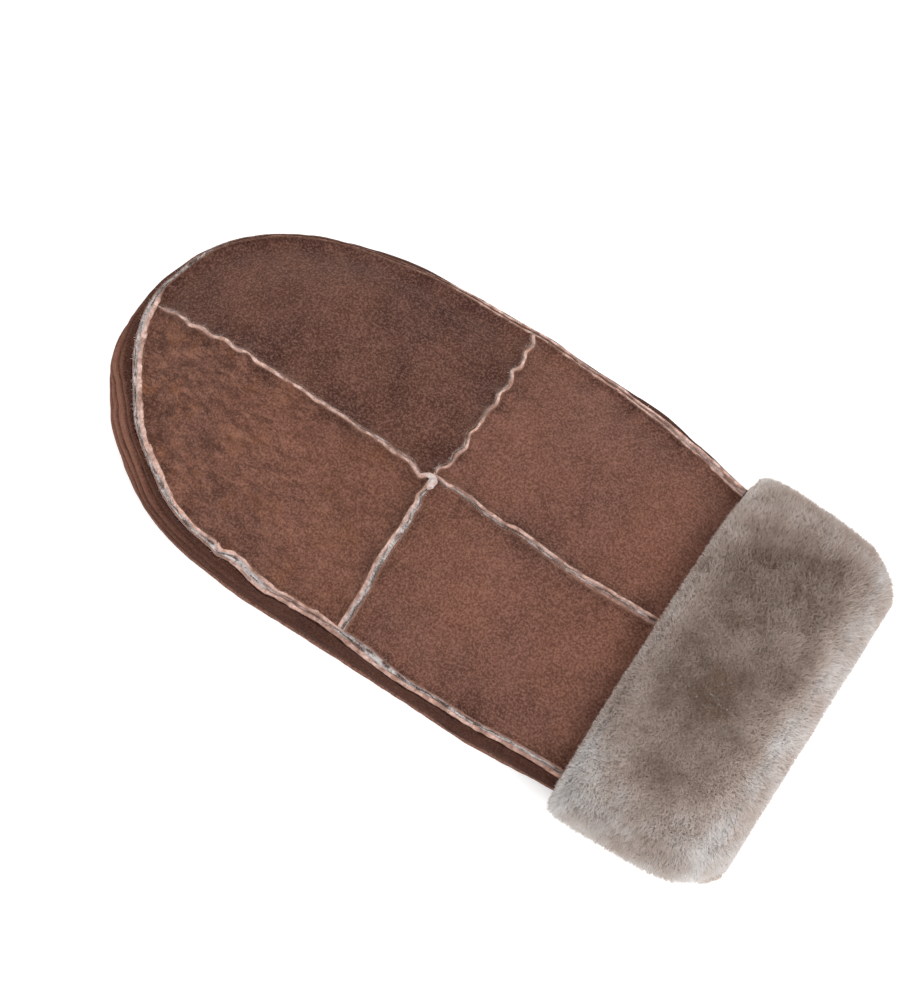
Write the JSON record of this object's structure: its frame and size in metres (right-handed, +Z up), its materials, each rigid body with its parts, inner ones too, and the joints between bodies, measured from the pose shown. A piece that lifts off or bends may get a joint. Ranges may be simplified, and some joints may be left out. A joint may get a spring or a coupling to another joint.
{
  "type": "sheepskin mitten",
  "caption": "Patchwork sheepskin mitten with suede outside, raised raw-edge seams, wool lining and a turned-back fur cuff, lying palm down with its thumb folded underneath.",
  "frame": {"origin": "centre of the bounding box's bottom, on the surface the mitten lies on", "axes": "+X from the fingertips to the mouth of the cuff, +Y across the mitten, +Z up out of the back of the hand"},
  "size_m": [0.2682, 0.1344, 0.0556],
  "materials": {
    "suede": "brushed brown suede with a fine nap, mottled and darker at the seams",
    "raw_edge": "raw cut edges of pinkish cream hide with grey wool showing between them",
    "wool": "dense soft grey-beige sheared wool about 10 mm deep"
  },
  "bodies": {
    "root": {"back_tip_far": "suede", "back_tip_near": "suede", "back_wrist_far": "suede", "back_wrist_near": "suede", "side_band": "suede", "palm_panel": "suede", "thumb": "suede", "seam_edge_back": "raw_edge", "seam_edge_palm": "raw_edge", "seam_length": "raw_edge", "seam_cross_far": "raw_edge", "seam_cross_near": "raw_edge", "seam_thumb": "raw_edge", "wool_back": "wool", "wool_palm": "wool", "cuff_fur": "wool"}
  },
  "joints": []
}
